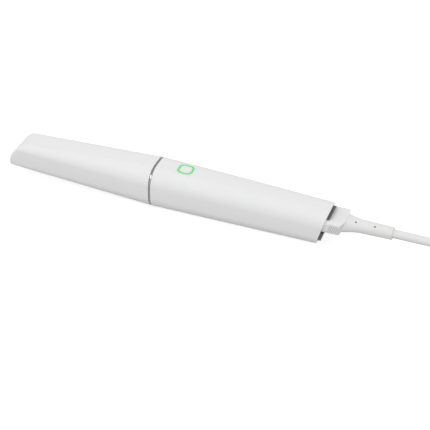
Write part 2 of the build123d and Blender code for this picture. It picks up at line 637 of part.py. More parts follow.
# Two lens barrels, each turned with a retaining rim, a glass seat and a waist
BARREL_X = RING_X - BARREL_FRONT
BARREL_LENGTH = BARREL_FRONT - BLOCK_FRONT + BARREL_SEAT
LENS_X = BARREL_X + LENS_BACK
LENS_RADIUS = BARREL_RADIUS - BARREL_WALL
LENS_STOP = LENS_RADIUS - LENS_LIP
WAIST_X = BARREL_X + LENS_BACK + LENS_THICK + WAIST_CUT
for label, lens_y in (("projector", LENS_SPREAD), ("camera", -LENS_SPREAD)):
    lens_axis = Axis((0, lens_y, OPTIC_Z), (1, 0, 0))
    turning = Plane(origin=(0, lens_y, OPTIC_Z), x_dir=(1, 0, 0), z_dir=(0, -1, 0))
    with BuildPart() as lens_barrel:
        with BuildSketch(turning):
            with BuildLine():
                Polyline((BARREL_X, LENS_STOP), (BARREL_X, BARREL_RADIUS), (WAIST_X, BARREL_RADIUS),
                         (WAIST_X + WAIST_CUT, BARREL_RADIUS - WAIST_CUT),
                         (WAIST_X + 4 * WAIST_CUT, BARREL_RADIUS - WAIST_CUT),
                         (WAIST_X + 5 * WAIST_CUT, BARREL_RADIUS), (BARREL_X + BARREL_LENGTH, BARREL_RADIUS),
                         (BARREL_X + BARREL_LENGTH, LENS_STOP), (LENS_X + LENS_THICK, LENS_STOP),
                         (LENS_X + LENS_THICK, LENS_RADIUS), (LENS_X, LENS_RADIUS),
                         (LENS_X, LENS_STOP), close=True)
            make_face()
        revolve(axis=lens_axis)
    lens_barrel.part.label = label + "_barrel"
    export_step(lens_barrel.part, "parts/" + label + "_barrel.step")
    with BuildPart() as lens_glass:
        with BuildSketch(turning):
            with BuildLine():
                Polyline((LENS_X, 0), (LENS_X, LENS_RADIUS - FIT), (LENS_X + LENS_THICK, LENS_RADIUS - FIT),
                         (LENS_X + LENS_THICK, 0), close=True)
            make_face()
        revolve(axis=lens_axis)
    lens_glass.part.label = label + "_lens"
    export_step(lens_glass.part, "parts/" + label + "_lens.step")

# Projector engine under the key board, with a heat strap and a finned heat sink behind it
ENGINE_TALL = KEY_BOARD_Z - HEAD_TALL - ENGINE_GAP - DECK_Z
with BuildPart() as projector_engine:
    with BuildSketch(Plane.XY.offset(DECK_Z)):
        with Locations((BLOCK_BACK_X, LENS_SPREAD)):
            Rectangle(ENGINE_LENGTH, 2 * BARREL_RADIUS, align=(Align.MIN, Align.CENTER))
    extrude(amount=ENGINE_TALL)
    fillet(projector_engine.edges().filter_by(Axis.X).sort_by(Axis.Z)[-2:], ENGINE_ROUND)
    with BuildSketch(Plane.XY.offset(DECK_Z + ENGINE_TALL)):
        with Locations((BLOCK_BACK_X + ENGINE_LENGTH / 2, LENS_SPREAD)):
            Rectangle(ENGINE_LENGTH - BARREL_RADIUS, BARREL_RADIUS)
    extrude(amount=-ENGINE_ROUND / 2, mode=Mode.SUBTRACT)
projector_engine.part.label = "projector_engine"
export_step(projector_engine.part, "parts/projector_engine.step")

with BuildPart() as heat_strap:
    with BuildSketch(across(ENGINE_BACK_X)):
        with Locations((LENS_SPREAD, DECK_Z + STRAP_RISE)):
            Rectangle(1.4 * BARREL_RADIUS, STRAP_THICK, align=(Align.CENTER, Align.MIN))
    extrude(amount=STRAP_LENGTH)
heat_strap.part.label = "heat_strap"
export_step(heat_strap.part, "parts/heat_strap.step")

SINK_WIDTH = CHASSIS_WIDTH - FIN_THICK
FIN_PITCH = (SINK_WIDTH - FIN_THICK) / (FIN_COUNT - 1)
with BuildPart() as heat_sink:
    with BuildSketch(Plane.XY.offset(DECK_Z)):
        with Locations((SINK_X, 0)):
            Rectangle(SINK_LENGTH, SINK_WIDTH, align=(Align.MIN, Align.CENTER))
    extrude(amount=SINK_BASE)
    with BuildSketch(Plane.XY.offset(DECK_Z + SINK_BASE)):
        with Locations((SINK_X + SINK_LENGTH / 2, 0)):
            with GridLocations(0, FIN_PITCH, 1, FIN_COUNT):
                Rectangle(SINK_LENGTH, FIN_THICK)
    extrude(amount=SINK_TALL - SINK_BASE)
heat_sink.part.label = "heat_sink"
export_step(heat_sink.part, "parts/heat_sink.step")

# Camera board: sensor against the block, board behind it
with BuildPart() as camera_board:
    with BuildSketch(across(BLOCK_BACK_X)):
        with Locations((-LENS_SPREAD, OPTIC_Z)):
            Rectangle(2 * (BARREL_RADIUS - SENSOR_EDGE), 2 * (BARREL_RADIUS - SENSOR_EDGE))
    extrude(amount=SENSOR_THICK)
    with BuildSketch(across(BLOCK_BACK_X + SENSOR_THICK)):
        with Locations((-LENS_SPREAD, DECK_Z)):
            Rectangle(2 * (BARREL_RADIUS - CAMERA_EDGE), OPTIC_Z + BARREL_RADIUS - DECK_Z,
                      align=(Align.CENTER, Align.MIN))
    extrude(amount=KEY_BOARD_THICK)
    with BuildSketch(across(BLOCK_BACK_X + SENSOR_THICK + KEY_BOARD_THICK)):
        with Locations((-LENS_SPREAD, DECK_Z + JACK_TALL)):
            Rectangle(1.4 * BARREL_RADIUS, 0.6 * JACK_DEEP)
    extrude(amount=CHIP_TALL)
camera_board.part.label = "camera_board"
export_step(camera_board.part, "parts/camera_board.step")

# Main board with its chips and sockets
with BuildPart() as main_board:
    with BuildSketch(Plane.XY.offset(BOARD_Z)):
        with Locations((BOARD_X, 0)):
            Rectangle(BOARD_LENGTH, CHASSIS_WIDTH, align=(Align.MIN, Align.CENTER))
    extrude(amount=BOARD_THICK)
    with BuildSketch(Plane.XY.offset(BOARD_Z + BOARD_THICK)):
        with Locations((BOARD_X + BOARD_LENGTH / 3, 0)):
            Rectangle(0.25 * BOARD_LENGTH, 0.6 * CHASSIS_WIDTH)
        with Locations((BOARD_X + 0.63 * BOARD_LENGTH, 0.225 * CHASSIS_WIDTH),
                       (BOARD_X + 0.63 * BOARD_LENGTH, -0.225 * CHASSIS_WIDTH)):
            Rectangle(BOARD_LENGTH / 6, 0.3 * CHASSIS_WIDTH)
    extrude(amount=CHIP_TALL)
    with BuildSketch(Plane.XY.offset(BOARD_Z + BOARD_THICK)):
        with Locations((BOARD_X + JACK_DEEP, 0), (BOARD_X + BOARD_LENGTH - JACK_DEEP, 0)):
            Rectangle(JACK_DEEP, 0.65 * CHASSIS_WIDTH)
    extrude(amount=JACK_TALL)
main_board.part.label = "main_board"
export_step(main_board.part, "parts/main_board.step")

# Rear cap: slanted dark block that fills the shell's end and carries the plug's channel
with BuildPart() as cap_core:
    add(handle_form(SHELL_WALL + FIT + GROOVE_DEEP))
with BuildPart() as cap_groove:
    add(handle_form(SHELL_WALL / 2))
    split(bisect_by=leaning((CAP_PROUD - CAP_GROOVE) / 2), keep=Keep.TOP)
    split(bisect_by=leaning((CAP_PROUD + CAP_GROOVE) / 2), keep=Keep.BOTTOM)
    add(cap_core.part, mode=Mode.SUBTRACT)
with BuildPart() as rear_cap:
    add(handle_form(SHELL_WALL + FIT))
    split(bisect_by=leaning(-CAP_DEEP), keep=Keep.TOP)
    split(bisect_by=leaning(CAP_PROUD), keep=Keep.BOTTOM)
    add(cap_groove.part, mode=Mode.SUBTRACT)
with BuildPart() as plug_channel:
    with BuildSketch(across(rim_x(PLUG_Z) - REAR_HEIGHT)):
        with Locations((0, PLUG_Z)):
            Rectangle(HANDLE_WIDTH, PLUG_HEIGHT + 2 * PLUG_CLEAR)
    extrude(amount=2 * REAR_HEIGHT)
    split(bisect_by=leaning(0), keep=Keep.TOP)
with BuildPart() as rear_end:
    add(rear_cap.part)
    add(plug_channel.part, mode=Mode.SUBTRACT)
    with BuildSketch(across(rim_x(PLUG_Z) - REAR_HEIGHT)):
        with Locations((0, PLUG_Z)):
            Rectangle(SOCKET_WIDTH + 2 * FIT, SOCKET_HEIGHT + 2 * FIT)
    extrude(amount=2 * REAR_HEIGHT, mode=Mode.SUBTRACT)
rear_end.part.label = "rear_cap"
export_step(rear_end.part, "parts/rear_cap.step")

# Socket held in the rear cap, plug block with grip grooves and the plug's metal insert
with BuildPart() as cable_socket:
    with BuildSketch(across(SOCKET_FACE_X)):
        with Locations((0, PLUG_Z)):
            Rectangle(SOCKET_WIDTH, SOCKET_HEIGHT)
    extrude(amount=-SOCKET_LENGTH)
    with BuildSketch(across(SOCKET_FACE_X)):
        with Locations((0, PLUG_Z)):
            Rectangle(INSERT_WIDTH + 2 * INSERT_CLEAR, INSERT_HEIGHT + 2 * INSERT_CLEAR)
    extrude(amount=-(INSERT_REACH + INSERT_CLEAR), mode=Mode.SUBTRACT)
cable_socket.part.label = "cable_socket"
export_step(cable_socket.part, "parts/cable_socket.step")

# The plug narrows in plan to the strain relief, square to the slanted rim
rim_tilt = radians(REAR_TILT)
plug_plan = Plane(origin=(rim_x(PLUG_Z), 0, PLUG_Z), x_dir=(cos(rim_tilt), 0, -sin(rim_tilt)),
                  z_dir=(sin(rim_tilt), 0, cos(rim_tilt)))
plug_end = PLUG_LENGTH * cos(rim_tilt)
with BuildPart() as plug_prism:
    with BuildSketch(plug_plan):
        with BuildLine():
            Polyline((-REAR_HEIGHT, PLUG_WIDTH), (plug_end - PLUG_TAPER, PLUG_WIDTH),
                     (plug_end - PLUG_TAPER, PLUG_WIDTH / 2), (plug_end, FLARE_WIDTH / 2),
                     (plug_end, -FLARE_WIDTH / 2), (plug_end - PLUG_TAPER, -PLUG_WIDTH / 2),
                     (plug_end - PLUG_TAPER, -PLUG_WIDTH), (-REAR_HEIGHT, -PLUG_WIDTH), close=True)
        make_face()
    extrude(amount=REAR_HEIGHT, both=True)
with BuildPart() as cable_plug:
    with BuildSketch(across(rim_x(PLUG_Z) - REAR_HEIGHT)):
        with Locations((0, PLUG_Z)):
            RectangleRounded(PLUG_WIDTH, PLUG_HEIGHT, PLUG_ROUND)
    extrude(amount=2 * REAR_HEIGHT)
    split(bisect_by=leaning(FIT), keep=Keep.TOP)
    add(plug_prism.part, mode=Mode.INTERSECT)
    with BuildSketch(plug_plan):
        for step in range(GRIP_GROOVES):
            groove_x = CAP_PROUD + GRIP_EDGE + step * GRIP_PITCH
            with Locations((groove_x, PLUG_WIDTH / 2), (groove_x, -PLUG_WIDTH / 2)):
                Rectangle(GRIP_WIDTH, 2 * GRIP_DEEP)
    extrude(amount=REAR_HEIGHT, both=True, mode=Mode.SUBTRACT)
cable_plug.part.label = "cable_plug"
export_step(cable_plug.part, "parts/cable_plug.step")

with BuildPart() as plug_insert:
    with BuildSketch(across(SOCKET_FACE_X - INSERT_REACH)):
        with Locations((0, PLUG_Z)):
            RectangleRounded(INSERT_WIDTH, INSERT_HEIGHT, INSERT_ROUND)
    extrude(amount=2 * REAR_HEIGHT)
    split(bisect_by=leaning(FIT), keep=Keep.BOTTOM)
plug_insert.part.label = "plug_insert"
export_step(plug_insert.part, "parts/plug_insert.step")

# Strain relief: flares from the plug and tapers to the lead, with small round dimples
BOOT_X = rim_x(PLUG_Z) + PLUG_LENGTH
FLARE_END_X = BOOT_X + FLARE_LENGTH
BOOT_END_X = BOOT_X + BOOT_LENGTH
DIMPLE_FLOOR = BOOT_END / 2 - DIMPLE_DEPTH


def boot_section(x, width, height):
    """Rounded section of the strain relief at the station x."""
    with BuildSketch(across(x, PLUG_Z)) as outline:
        RectangleRounded(width, height, 0.49 * min(width, height))
    return outline.sketch


def flare_section(reach, height):
    """Section of the strain relief's flare, by its reach behind the plug."""
    return boot_section(BOOT_X + reach, FLARE_WIDTH - FLARE_SLOPE * reach, height)


with BuildPart() as strain_relief:
    loft([flare_section(-FLARE_BACK, FLARE_HEIGHT), flare_section(FLARE_STEP, FLARE_HEIGHT),
          flare_section(3 * FLARE_STEP, BOOT_NECK), boot_section(FLARE_END_X, BOOT_NECK, BOOT_NECK)])
    loft([boot_section(FLARE_END_X, BOOT_NECK, BOOT_NECK), boot_section(BOOT_END_X, BOOT_END, BOOT_END)])
    split(bisect_by=leaning(PLUG_LENGTH), keep=Keep.TOP)
    for station in (BOOT_X + DIMPLE_START, BOOT_X + DIMPLE_START + DIMPLE_PITCH):
        for lean in (DIMPLE_LEAN, -DIMPLE_LEAN, 180 - DIMPLE_LEAN, DIMPLE_LEAN - 180):
            outward = (0, sin(radians(lean)), cos(radians(lean)))
            dimple = Plane(origin=(station, DIMPLE_FLOOR * outward[1], PLUG_Z + DIMPLE_FLOOR * outward[2]),
                           x_dir=(1, 0, 0), z_dir=outward)
            with BuildSketch(dimple):
                Circle(DIMPLE_RADIUS)
            extrude(amount=BOOT_NECK / 2, mode=Mode.SUBTRACT)
strain_relief.part.label = "strain_relief"
export_step(strain_relief.part, "parts/strain_relief.step")


def bend_radii(points):
    """Radius of the arc at each inner point of a route, from its runs and its turn."""
    radii = []
    for before, here, after in zip(points, points[1:], points[2:]):
        first = Vector(*here) - Vector(*before)
        second = Vector(*after) - Vector(*here)
        turn = radians(first.get_angle(second))
        radii.append(0.45 * min(first.length, second.length) / tan(turn / 2))
    return radii


def cord_tube(points):
    """Round lead along straight runs that are joined by tangent arcs."""
    radii = bend_radii(points)
    print("bend radii", [round(radius, 1) for radius in radii])
    start = Vector(*points[0])
    with BuildPart() as tube:
        with BuildLine() as route:
            FilletPolyline(*points, radius=radii)
        with BuildSketch(Plane(origin=start, z_dir=Vector(*points[1]) - start)):
            Circle(CORD / 2)
        sweep(path=route.wire())
    length = route.wire().length
    share = tube.part.volume / (pi * (CORD / 2) ** 2 * length)
    print("tube", round(length, 1), "mm, volume share", round(share, 4))
    return tube.part


# Lead from the strain relief to the near side of a folded hank
COIL_X = BOOT_END_X + COIL_REACH
FOLD_X = COIL_X + COIL_RUN
LEAD_ROUTE = [
    (BOOT_END_X, 0, PLUG_Z),
    (BOOT_END_X + 24.0, 0, PLUG_Z),
    (COIL_X - 20.0, COIL_Y - COIL_OUTER, COIL_TOP_Z),
    (COIL_X, COIL_Y - COIL_OUTER, COIL_TOP_Z),
]
with BuildPart() as cable:
    add(cord_tube(LEAD_ROUTE))
cable.part.label = "cable"
export_step(cable.part, "parts/cable.step")

# Hank of the spare length as one long rounded loop
with BuildPart() as cable_coil:
    with BuildSketch(Plane.XY.offset(COIL_Z - CORD / 2)):
        with Locations(((COIL_X + FOLD_X) / 2, COIL_Y)):
            SlotCenterToCenter(COIL_RUN, 2 * COIL_OUTER + CORD)
            SlotCenterToCenter(COIL_RUN, 2 * COIL_INNER - CORD, mode=Mode.SUBTRACT)
    extrude(amount=COIL_TOP_Z - COIL_Z + CORD)
    rims = cable_coil.faces().filter_by(Axis.Z).edges()
    fillet(rims, 0.46 * CORD)
cable_coil.part.label = "cable_coil"
export_step(cable_coil.part, "parts/cable_coil.step")

# Tie round the hank's turns at the far fold
TIE_IN = sqrt((COIL_INNER - CORD / 2) ** 2 - (TIE_WIDTH / 2) ** 2) - TIE_CLEAR
TIE_OUT = COIL_OUTER + CORD / 2 + TIE_CLEAR
TIE_TOP = COIL_TOP_Z + CORD / 2 + TIE_CLEAR
with BuildPart() as coil_tie:
    with BuildSketch(Plane(origin=(FOLD_X, COIL_Y - TIE_WIDTH / 2, 0), x_dir=(1, 0, 0), z_dir=(0, 1, 0))):
        with Locations(((TIE_IN + TIE_OUT) / 2, -(TIE_TOP + TIE_THICK) / 2)):
            RectangleRounded(TIE_OUT - TIE_IN + 2 * TIE_THICK, TIE_TOP + TIE_THICK, TIE_ROUND)
            RectangleRounded(TIE_OUT - TIE_IN, TIE_TOP - TIE_THICK, TIE_ROUND - TIE_THICK, mode=Mode.SUBTRACT)
    extrude(amount=TIE_WIDTH)
coil_tie.part.label = "coil_tie"
export_step(coil_tie.part, "parts/coil_tie.step")

# Tail from the hank's last turn into its eye, where the computer plug lies
USB_Z = USB_HEIGHT / 2
TAIL_TURN = radians(38)
TAIL_RUN = COIL_INNER / tan(TAIL_TURN)
TAIL_X = FOLD_X - COIL_INNER * sin(TAIL_TURN)
BEND_X = TAIL_X - TAIL_RUN * cos(TAIL_TURN)
TAIL_ROUTE = [
    (TAIL_X, COIL_Y + COIL_INNER * cos(TAIL_TURN), COIL_Z),
    (BEND_X, COIL_Y, USB_Z),
    (BEND_X - TAIL_RUN, COIL_Y, USB_Z),
]
with BuildPart() as cable_tail:
    add(cord_tube(TAIL_ROUTE))
cable_tail.part.label = "cable_tail"
export_step(cable_tail.part, "parts/cable_tail.step")

# Computer plug: moulded grip with a tapered neck, metal shell and contact tongue
usb_way = (Vector(*TAIL_ROUTE[-1]) - Vector(*TAIL_ROUTE[-2])).normalized()
usb_start = Vector(*TAIL_ROUTE[-1])


def along_usb(distance):
    """Plane across the computer plug, a distance on from the end of the tail."""
    side = Vector(-usb_way.Y, usb_way.X, 0)
    return Plane(origin=usb_start + usb_way * distance, x_dir=side, z_dir=usb_way)


with BuildPart() as usb_grip:
    with BuildSketch(along_usb(0)):
        Circle(CORD / 2 + USB_COLLAR)
    with BuildSketch(along_usb(USB_NECK)):
        Circle(CORD / 2 + USB_FLARE)
    loft()
    with BuildSketch(along_usb(USB_NECK)):
        RectangleRounded(USB_WIDTH, USB_HEIGHT, USB_ROUND)
    extrude(amount=USB_LENGTH)
    fillet(usb_grip.faces().sort_by(Axis(usb_start, usb_way))[-1].edges(), USB_EDGE)
usb_grip.part.label = "usb_grip"
export_step(usb_grip.part, "parts/usb_grip.step")

with BuildPart() as usb_shell:
    with BuildSketch(along_usb(USB_NECK + USB_LENGTH)):
        Rectangle(USB_SHELL_WIDTH, USB_SHELL_HEIGHT)
        Rectangle(USB_SHELL_WIDTH - 2 * USB_SHELL_WALL, USB_SHELL_HEIGHT - 2 * USB_SHELL_WALL,
                  mode=Mode.SUBTRACT)
    extrude(amount=USB_SHELL_LENGTH)
    with BuildSketch(Plane(origin=along_usb(USB_NECK + USB_LENGTH + USB_SHELL_LENGTH / 2).origin,
                           x_dir=usb_way, z_dir=(0, 0, 1))):
        with Locations((0, USB_LATCH_SPREAD), (0, -USB_LATCH_SPREAD)):
            Rectangle(USB_LATCH, USB_LATCH)
    extrude(amount=USB_SHELL_HEIGHT, mode=Mode.SUBTRACT)
usb_shell.part.label = "usb_shell"
export_step(usb_shell.part, "parts/usb_shell.step")

with BuildPart() as usb_tongue:
    tongue_low = -USB_SHELL_HEIGHT / 2 + USB_SHELL_WALL
    with BuildSketch(along_usb(USB_NECK + USB_LENGTH)):
        with Locations((0, tongue_low)):
            Rectangle(USB_SHELL_WIDTH - 2 * USB_SHELL_WALL, USB_TONGUE_TALL, align=(Align.CENTER, Align.MIN))
    extrude(amount=USB_SHELL_LENGTH - USB_EDGE)
usb_tongue.part.label = "usb_tongue"
export_step(usb_tongue.part, "parts/usb_tongue.step")
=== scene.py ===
"""Intraoral scanner: camera, lead, studio, finishes and small details round the CAD part."""

import json
from math import cos, pi, radians, sin, tan

import bmesh
import bpy
from mathutils import Euler, Matrix, Vector


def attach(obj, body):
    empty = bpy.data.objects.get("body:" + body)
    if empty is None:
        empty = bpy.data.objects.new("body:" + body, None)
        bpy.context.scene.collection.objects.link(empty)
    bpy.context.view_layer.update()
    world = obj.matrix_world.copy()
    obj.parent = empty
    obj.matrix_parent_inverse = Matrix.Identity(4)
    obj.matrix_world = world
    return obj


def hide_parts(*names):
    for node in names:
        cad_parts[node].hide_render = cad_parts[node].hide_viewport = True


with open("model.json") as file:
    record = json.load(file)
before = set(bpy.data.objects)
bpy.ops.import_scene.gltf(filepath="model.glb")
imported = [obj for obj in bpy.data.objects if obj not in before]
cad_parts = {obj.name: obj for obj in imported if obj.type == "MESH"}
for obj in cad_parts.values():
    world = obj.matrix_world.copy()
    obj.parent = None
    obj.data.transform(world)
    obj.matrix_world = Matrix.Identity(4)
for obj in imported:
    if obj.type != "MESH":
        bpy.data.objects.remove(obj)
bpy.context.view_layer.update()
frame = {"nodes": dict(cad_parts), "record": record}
nodes = frame["nodes"]
scene = bpy.context.scene
scene.view_settings.view_transform = "Standard"

MM = 0.001


def mm(*values):
    """Point given in millimetres, in metres."""
    return Vector([value * MM for value in values])


def new_object(name, data):
    """Object in the scene with the given data, at the origin."""
    thing = bpy.data.objects.new(name, data)
    scene.collection.objects.link(thing)
    return thing


def mesh_object(name, shape, finish):
    """Object with the mesh of a bmesh, which is used up, and a finish."""
    data = bpy.data.meshes.new(name)
    shape.to_mesh(data)
    shape.free()
    data.materials.append(finish.material)
    return new_object(name, data)


# Camera at the photograph's viewing angle
AZIMUTH = radians(19.87)
ELEVATION = radians(36.08)
ROLL = radians(1.34)
LENS = 110.15
SENSOR = 36.0
CAMERA_PLACE = (0.2947, -0.7166, 0.5532)

camera_data = bpy.data.cameras.new("camera")
camera_data.sensor_width = SENSOR
camera_data.lens = LENS
camera = new_object("camera", camera_data)
camera_turn = Euler((pi / 2 - ELEVATION, 0, AZIMUTH)).to_matrix() @ Matrix.Rotation(ROLL, 3, "Z")
camera.rotation_euler = camera_turn.to_euler()
camera.location = CAMERA_PLACE
scene.camera = camera

# Lead: straight out of the strain relief, six turns of a tied hank behind the wand, then the computer
# plug. Lengths are in millimetres, apart from LEAD_LENGTH, which is in metres.
CORD = 6.2
BOOT_END_X = 164.977
PLUG_Z = 17.8
LEAD_STRAIGHT = 13.3
BEND_LEG = 23.2
HANK_ENTRY = 12.6
COIL_X = 230.977
COIL_Y = 11.8
COIL_RUN = 93.0
COIL_PITCH = 6.6
COIL_INNER = 18.6
COIL_OUTER = COIL_INNER + COIL_PITCH
COIL_Z = 4.0
COIL_MIDDLE_Z = COIL_Z + COIL_PITCH
COIL_TOP_Z = COIL_MIDDLE_Z + COIL_PITCH
FOLD_X = COIL_X + COIL_RUN
FOLD_STEPS = 8
# A run's end points lie this share of a fold's radius inside the fold's centre
EASE = tan(pi / FOLD_STEPS / 2)
# Radius and height of each turn
TURNS = [(COIL_OUTER, COIL_TOP_Z), (COIL_INNER, COIL_TOP_Z), (COIL_INNER, COIL_MIDDLE_Z),
         (COIL_OUTER, COIL_MIDDLE_Z), (COIL_OUTER, COIL_Z), (COIL_INNER, COIL_Z)]
LAST_TURN = len(TURNS) - 1
FAR_STEPS = 12
# The run back has three parts: a slip takes one, and the turns' slips start half a part apart
SLIP_PARTS = 3
SLIP_STAGGER = 0.5
USB_Z = 4.3
# The tail leaves the last fold at a slant and bends into the hank's middle line
TAIL_TURN = radians(38)
TAIL_EASE = 3.6
TAIL_RUN = COIL_INNER / tan(TAIL_TURN)
TAIL_X = FOLD_X - COIL_INNER * sin(TAIL_TURN)
TAIL_Y = COIL_Y + COIL_INNER * cos(TAIL_TURN)
BEND_X = TAIL_X - TAIL_RUN * cos(TAIL_TURN)
TAIL_LEG = 0.85 * TAIL_RUN
TUBE_FINENESS = 5
ROUTE_FINENESS = 4


def fold(middle_x, turn, start, sweep=pi, steps=FOLD_STEPS):
    """Points round one fold of a turn, which the lead touches halfway between them."""
    reach, z = TURNS[turn]
    reach /= cos(sweep / steps / 2)
    angles = [start + sweep / steps * (step + 0.5) for step in range(steps)]
    return [mm(middle_x + reach * cos(angle), COIL_Y + reach * sin(angle), z) for angle in angles]


def near_side(turn):
    """Points along a turn's near run, towards the far fold."""
    reach, z = TURNS[turn]
    return [mm(x, COIL_Y - reach, z)
            for x in (COIL_X + EASE * reach, (COIL_X + FOLD_X) / 2, FOLD_X - EASE * reach)]


def far_side(turn):
    """Points along a turn's run back, which slips to the next turn's place; the last turn slips first."""
    (reach, z), (next_reach, next_z) = TURNS[turn], TURNS[turn + 1]
    start_x = FOLD_X - EASE * reach
    run = start_x - COIL_X - EASE * next_reach
    begin = SLIP_STAGGER * (LAST_TURN - 1 - turn)
    points = []
    for count in range(FAR_STEPS + 1):
        share = min(max(SLIP_PARTS * count / FAR_STEPS - begin, 0), 1)
        share *= share * (3 - 2 * share)
        points.append(mm(start_x - run * count / FAR_STEPS, COIL_Y + reach + share * (next_reach - reach),
                         z + share * (next_z - z)))
    return points


def lead_points():
    """Control points of the whole lead, from the strain relief to the computer plug."""
    points = [
        mm(BOOT_END_X, 0, PLUG_Z),
        mm(BOOT_END_X + LEAD_STRAIGHT, 0, PLUG_Z),
        mm(BOOT_END_X + LEAD_STRAIGHT + BEND_LEG, 0, PLUG_Z),
        mm(COIL_X + HANK_ENTRY - BEND_LEG, COIL_Y - COIL_OUTER, COIL_TOP_Z),
        mm(COIL_X + HANK_ENTRY, COIL_Y - COIL_OUTER, COIL_TOP_Z),
    ]
    points += near_side(0)[1:]
    for turn in range(LAST_TURN):
        points += fold(FOLD_X, turn, -pi / 2)
        points += far_side(turn)
        points += fold(COIL_X, turn + 1, pi / 2)
        points += near_side(turn + 1)
    points += fold(FOLD_X, LAST_TURN, -pi / 2, pi + TAIL_TURN, FOLD_STEPS + 2)
    points += [
        mm(TAIL_X - TAIL_EASE * cos(TAIL_TURN), TAIL_Y - TAIL_EASE * sin(TAIL_TURN), COIL_Z),
        mm(BEND_X, COIL_Y, USB_Z),
        mm(BEND_X - TAIL_LEG, COIL_Y, USB_Z),
        mm(BEND_X - TAIL_RUN, COIL_Y, USB_Z),
    ]
    return points


lead_curve = bpy.data.curves.new("lead", "CURVE")
lead_curve.dimensions = "3D"
lead_curve.bevel_depth = 1.0
lead_curve.bevel_resolution = TUBE_FINENESS
lead_curve.resolution_u = ROUTE_FINENESS
lead_curve.use_fill_caps = True
lead_route = lead_points()
lead_spline = lead_curve.splines.new("NURBS")
lead_spline.points.add(len(lead_route) - 1)
for control, place in zip(lead_spline.points, lead_route):
    control.co = (*place, 1.0)
    control.radius = CORD / 2 * MM
lead_spline.order_u = 3
lead_spline.use_endpoint_u = True
lead = new_object("lead", lead_curve)
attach(lead, "lead")
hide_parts("cable", "cable_coil", "cable_tail")
mm(BOOT_END_X, 0, PLUG_Z)


class Value:
    """A shader socket that takes arithmetic: an expression on it adds its Math nodes."""

    def __init__(self, owner, socket):
        self.owner = owner
        self.socket = socket

    def __add__(self, other):
        return self.owner.maths("ADD", self, other)

    def __sub__(self, other):
        return self.owner.maths("SUBTRACT", self, other)

    def __rsub__(self, other):
        return self.owner.maths("SUBTRACT", other, self)

    def __mul__(self, other):
        return self.owner.maths("MULTIPLY", self, other)

    def __truediv__(self, other):
        return self.owner.maths("DIVIDE", self, other)

    def __rtruediv__(self, other):
        return self.owner.maths("DIVIDE", other, self)

    def __pow__(self, other):
        return self.owner.maths("POWER", self, other)

    def __rpow__(self, other):
        return self.owner.maths("POWER", other, self)

    __radd__ = __add__
    __rmul__ = __mul__


class NodeTree:
    """Nodes of a material or of the world, added with their settings and sockets."""

    def __init__(self, tree):
        self.tree = tree
        self.tree.nodes.clear()

    def add(self, kind, settings=(), **sockets):
        """New node: its settings first, then a number, colour or link for each socket."""
        node = self.tree.nodes.new(kind)
        for key, value in dict(settings).items():
            setattr(node, key, value)
        self.feed_all(node, sockets)
        return node

    def feed_all(self, node, sockets):
        """Feeds sockets that are given by name, with _ for a space, or by _ and a number."""
        for key, value in sockets.items():
            place = int(key[1:]) if key[1:].isdigit() else key.replace("_", " ")
            self.feed(node.inputs[place], value)

    def feed(self, socket, value):
        """Links a value to a socket, or sets the socket."""
        if isinstance(value, Value):
            value = value.socket
        if isinstance(value, bpy.types.NodeSocket):
            self.tree.links.new(value, socket)
        elif socket.type == "RGBA" and len(value) == 3:
            socket.default_value = (*value, 1.0)
        else:
            socket.default_value = value

    def out(self, node, name):
        """One output of a node as a value."""
        return Value(self, node.outputs[name])

    def maths(self, operation, first, second):
        """Math node on two values."""
        node = self.add("ShaderNodeMath", {"operation": operation}, _0=first, _1=second)
        return self.out(node, "Value")


class Finish(NodeTree):
    """A material with a Principled shader that is ready to take values."""

    def __init__(self, name):
        self.name = name
        self.material = bpy.data.materials.new(name)
        self.material.use_nodes = True
        super().__init__(self.material.node_tree)
        self.shader = self.add("ShaderNodeBsdfPrincipled")
        self.output = self.add("ShaderNodeOutputMaterial", Surface=self.shader.outputs["BSDF"])
        self.place = self.out(self.add("ShaderNodeTexCoord"), "Object")

    def set(self, **sockets):
        """Numbers, colours or links for the shader's sockets."""
        self.feed_all(self.shader, sockets)

    def noise(self, scale, detail=3.0, rough=0.5, stretch=None):
        """Cloudy value about a half, with a scale in cells for each metre."""
        place = self.stretched(stretch) if stretch else self.place
        node = self.add("ShaderNodeTexNoise", Vector=place, Scale=scale, Detail=detail, Roughness=rough)
        return self.out(node, "Fac")

    def cells(self, scale, scatter=1.0):
        """Distance to the nearest of a scatter of points, in cells."""
        node = self.add("ShaderNodeTexVoronoi", Vector=self.place, Scale=scale, Randomness=scatter)
        return self.out(node, "Distance")

    def stretched(self, scale):
        """Object coordinates stretched by a factor for each axis."""
        node = self.add("ShaderNodeVectorMath", {"operation": "MULTIPLY"}, _0=self.place, _1=scale)
        return self.out(node, "Vector")

    def axes(self, names):
        """Object coordinates in millimetres, one value for each named axis."""
        node = self.add("ShaderNodeSeparateXYZ", Vector=self.place)
        return [self.out(node, name) / MM for name in names]

    def blend(self, share, first, second):
        """Colour between two colours."""
        node = self.add("ShaderNodeMix", {"data_type": "RGBA"}, _0=share, _6=first, _7=second)
        return Value(self, node.outputs[2])

    def step(self, value, low, high, begin=0.0, end=1.0):
        """Smooth step of a value between two limits."""
        node = self.add("ShaderNodeMapRange", {"interpolation_type": "SMOOTHSTEP"}, _0=value, _1=low,
                        _2=high, _3=begin, _4=end)
        return self.out(node, "Result")

    def magnitude(self, value):
        """A value without its sign."""
        return self.maths("ABSOLUTE", value, 0.0)

    def tint(self, share, colour):
        """Lays a colour over the base colour by a share that varies over the surface."""
        plain = self.shader.inputs["Base Color"].links[0].from_socket
        self.set(Base_Color=self.blend(share, plain, colour))

    def bump(self, height, strength, distance):
        """Raises the surface by a height map."""
        node = self.add("ShaderNodeBump", Height=height, Strength=strength, Distance=distance)
        self.set(Normal=self.out(node, "Normal"))


